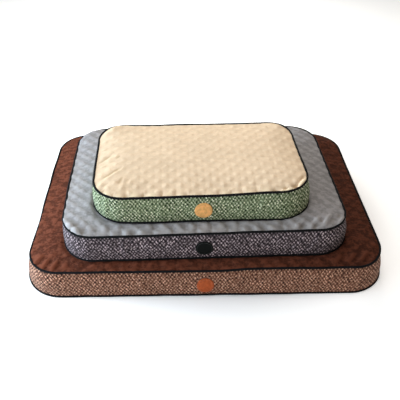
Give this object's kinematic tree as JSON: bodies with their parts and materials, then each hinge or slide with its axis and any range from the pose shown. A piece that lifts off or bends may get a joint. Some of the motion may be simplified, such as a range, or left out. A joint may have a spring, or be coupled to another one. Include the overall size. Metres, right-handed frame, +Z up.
{
  "type": "pet cushion bed",
  "caption": "Graduated pile of low rectangular foam pet beds: plush tops, printed canvas side bands, piped edges, round front patches and zipped removable covers",
  "frame": {"origin": "on the floor under the middle of the lowest bed", "axes": "+Z up, +X along the long side to the right seen from the front, the front with the round patches faces -Y"},
  "size_m": [1.144, 0.776, 0.3054],
  "materials": {
    "large_plush": "brown short-pile velvety plush",
    "large_canvas": "printed woven canvas with small slanting flecks",
    "large_patch": "matt leather-look patch with a stitched rim",
    "medium_plush": "grey short-pile velvety plush",
    "medium_canvas": "printed woven canvas with small slanting flecks",
    "medium_patch": "matt leather-look patch with a stitched rim",
    "small_plush": "cream short-pile velvety plush",
    "small_canvas": "printed woven canvas with small slanting flecks",
    "small_patch": "matt leather-look patch with a stitched rim",
    "piping_black": "black bias-cut cotton piping",
    "base_cloth": "black non-slip cloth with small grip dots",
    "foam_core": "open-cell polyurethane support foam",
    "foam_memory": "soft memory foam",
    "zip_tape": "black woven zip tape",
    "zip_coil": "black nylon coil",
    "zip_metal": "dark nickel-plated die-cast metal"
  },
  "bodies": {
    "large_bed": {"large_foam_base": "foam_core", "large_foam_topper": "foam_memory", "large_top_panel": "large_plush", "large_bottom_panel": "base_cloth", "large_front_band": "large_canvas", "large_rear_band_lower": "large_canvas", "large_rear_band_upper": "large_canvas", "large_top_piping": "piping_black", "large_bottom_piping": "piping_black", "large_badge": "large_patch", "large_zip_tape_upper": "zip_tape", "large_zip_tape_lower": "zip_tape", "large_zip_teeth_upper": "zip_coil", "large_zip_teeth_lower": "zip_coil", "large_zip_stop_left": "zip_metal", "large_zip_stop_right": "zip_metal"},
    "large_zip_slider": {"large_zip_slider": "zip_metal"},
    "large_zip_pull": {"large_zip_pull": "zip_metal"},
    "medium_bed": {"medium_foam_base": "foam_core", "medium_foam_topper": "foam_memory", "medium_top_panel": "medium_plush", "medium_bottom_panel": "base_cloth", "medium_front_band": "medium_canvas", "medium_rear_band_lower": "medium_canvas", "medium_rear_band_upper": "medium_canvas", "medium_top_piping": "piping_black", "medium_bottom_piping": "piping_black", "medium_badge": "medium_patch", "medium_zip_tape_upper": "zip_tape", "medium_zip_tape_lower": "zip_tape", "medium_zip_teeth_upper": "zip_coil", "medium_zip_teeth_lower": "zip_coil", "medium_zip_stop_left": "zip_metal", "medium_zip_stop_right": "zip_metal"},
    "medium_zip_slider": {"medium_zip_slider": "zip_metal"},
    "medium_zip_pull": {"medium_zip_pull": "zip_metal"},
    "small_bed": {"small_foam_base": "foam_core", "small_foam_topper": "foam_memory", "small_top_panel": "small_plush", "small_bottom_panel": "base_cloth", "small_front_band": "small_canvas", "small_rear_band_lower": "small_canvas", "small_rear_band_upper": "small_canvas", "small_top_piping": "piping_black", "small_bottom_piping": "piping_black", "small_badge": "small_patch", "small_zip_tape_upper": "zip_tape", "small_zip_tape_lower": "zip_tape", "small_zip_teeth_upper": "zip_coil", "small_zip_teeth_lower": "zip_coil", "small_zip_stop_left": "zip_metal", "small_zip_stop_right": "zip_metal"},
    "small_zip_slider": {"small_zip_slider": "zip_metal"},
    "small_zip_pull": {"small_zip_pull": "zip_metal"}
  },
  "joints": [
    {"name": "medium_bed_lift", "type": "slide", "parent": "large_bed", "child": "medium_bed", "axis": [0, 0, 1], "range_m": [0, 0.12]},
    {"name": "small_bed_lift", "type": "slide", "parent": "medium_bed", "child": "small_bed", "axis": [0, 0, 1], "range_m": [0, 0.12]},
    {"name": "large_zip_run", "type": "slide", "parent": "large_bed", "child": "large_zip_slider", "axis": [-1, 0, 0], "range_m": [0, 0.8404]},
    {"name": "large_pull_swing", "type": "hinge", "parent": "large_zip_slider", "child": "large_zip_pull", "pos_m": [0.4202, 0.38484, 0.036], "axis": [0, 0, -1], "range_deg": [0, 170]},
    {"name": "medium_zip_run", "type": "slide", "parent": "medium_bed", "child": "medium_zip_slider", "axis": [-0.9997, -0.0227, 0], "range_m": [0, 0.6244]},
    {"name": "medium_pull_swing", "type": "hinge", "parent": "medium_zip_slider", "child": "medium_zip_pull", "pos_m": [0.2963, 0.2807, 0.1379], "axis": [0, 0, -1], "range_deg": [0, 170]},
    {"name": "small_zip_run", "type": "slide", "parent": "small_bed", "child": "small_zip_slider", "axis": [-0.9995, -0.0314, 0], "range_m": [0, 0.4094]},
    {"name": "small_pull_swing", "type": "hinge", "parent": "small_zip_slider", "child": "small_zip_pull", "pos_m": [0.17821, 0.14167, 0.2398], "axis": [0, 0, -1], "range_deg": [0, 170]}
  ]
}
